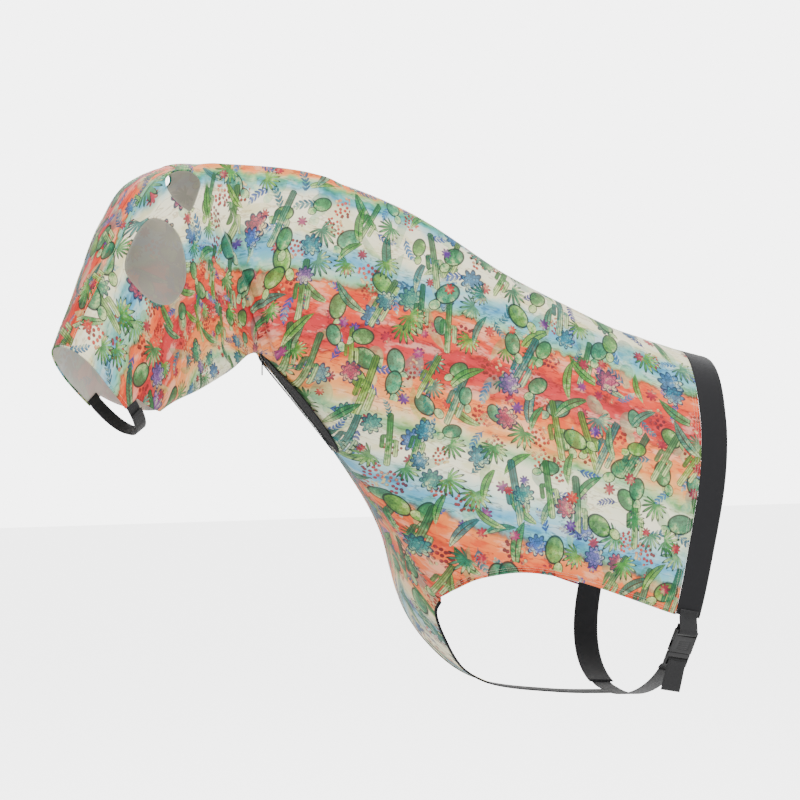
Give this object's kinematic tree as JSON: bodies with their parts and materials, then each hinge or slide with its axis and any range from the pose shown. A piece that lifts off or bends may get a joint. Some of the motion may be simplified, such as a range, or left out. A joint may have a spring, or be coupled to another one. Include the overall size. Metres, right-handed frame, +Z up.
{
  "type": "stretch horse hood",
  "caption": "Close-fitting stretch hood for a horse's head, neck and shoulders, with eye, ear and leg openings, a throat zip, a chin strap and a buckled girth band.",
  "frame": {"origin": "the point of the hood on the top line at the withers, where the horse's back carries it", "axes": "+X from the nose towards the girth, +Y towards the horse's off (right) side, +Z up"},
  "size_m": [1.2753, 0.5002, 0.9979],
  "materials": {
    "printed_knit": "printed four-way stretch knit, watercolour bands and desert plants, soft matt",
    "binding": "dark folded binding",
    "elastic": "black woven elastic",
    "webbing": "black woven webbing",
    "hook_tape": "black hook and loop tape",
    "buckle_plastic": "black moulded acetal, fine texture",
    "zip_tape": "black woven zip tape",
    "zip_teeth": "black nylon coil",
    "zip_metal": "black lacquered zinc"
  },
  "bodies": {
    "root": {"left_side_panel": "printed_knit", "right_side_panel": "printed_knit", "forehead_panel": "printed_knit", "chest_gusset": "printed_knit", "left_eye_binding": "binding", "right_eye_binding": "binding", "left_ear_binding": "binding", "right_ear_binding": "binding", "nose_hem": "binding", "left_leg_hem": "binding", "right_leg_hem": "binding", "left_gusset_binding": "binding", "right_gusset_binding": "binding", "girth_band_left": "elastic", "girth_band_right": "elastic", "belly_strap": "webbing", "leg_divider_elastic": "elastic", "buckle_socket": "buckle_plastic", "socket_webbing_loop": "webbing", "zipper_tape_left": "zip_tape", "zipper_tape_right": "zip_tape", "zipper_teeth_left": "zip_teeth", "zipper_teeth_right": "zip_teeth", "zipper_top_stop_left": "zip_metal", "zipper_top_stop_right": "zip_metal", "zipper_bottom_stop": "zip_metal", "chin_strap_left": "webbing", "chin_strap_right": "webbing", "chin_loop_patch": "hook_tape"},
    "buckle_plug": {"buckle_plug": "buckle_plastic", "plug_webbing_loop": "webbing", "strap_tail": "webbing"},
    "prong_front": {"buckle_prong_front": "buckle_plastic"},
    "prong_rear": {"buckle_prong_rear": "buckle_plastic"},
    "zip_slider": {"zipper_slider": "zip_metal"},
    "zip_tab": {"zipper_pull_tab": "zip_metal"},
    "chin_flap": {"chin_strap_flap": "webbing", "chin_hook_patch": "hook_tape"}
  },
  "joints": [
    {"name": "buckle_release", "type": "slide", "parent": "root", "child": "buckle_plug", "axis": [-0.2136, 0.3216, -0.9225], "range_m": [0, 0.034], "deforming": ["belly_strap"]},
    {"name": "prong_front_flex", "type": "hinge", "parent": "buckle_plug", "child": "prong_front", "pos_m": [-0.14742, -0.23289, -0.53541], "axis": [-0.0183, 0.9428, 0.3329], "range_deg": [0, 7], "stiffness_Nm_per_rad": 0.2},
    {"name": "prong_rear_flex", "type": "hinge", "parent": "buckle_plug", "child": "prong_rear", "pos_m": [-0.11656, -0.23011, -0.54159], "axis": [0.0183, -0.9428, -0.3329], "range_deg": [0, 7], "stiffness_Nm_per_rad": 0.2},
    {"name": "zip_slide", "type": "slide", "parent": "root", "child": "zip_slider", "axis": [0.6178, 0, -0.7864], "range_m": [0, 0.185], "deforming": ["zipper_teeth_left", "zipper_teeth_right"]},
    {"name": "zip_tab_swing", "type": "hinge", "parent": "zip_slider", "child": "zip_tab", "pos_m": [-0.85799, 0, -0.00383], "axis": [0, 1, 0], "range_deg": [-34, 100]},
    {"name": "chin_flap_peel", "type": "hinge", "parent": "root", "child": "chin_flap", "pos_m": [-1.10379, -0.08725, -0.12043], "axis": [0.7793, 0.2661, 0.5673], "range_deg": [0, 110]}
  ],
  "couplings": [
    {"joint": "prong_rear_flex", "follows": "prong_front_flex", "ratio": 1}
  ]
}
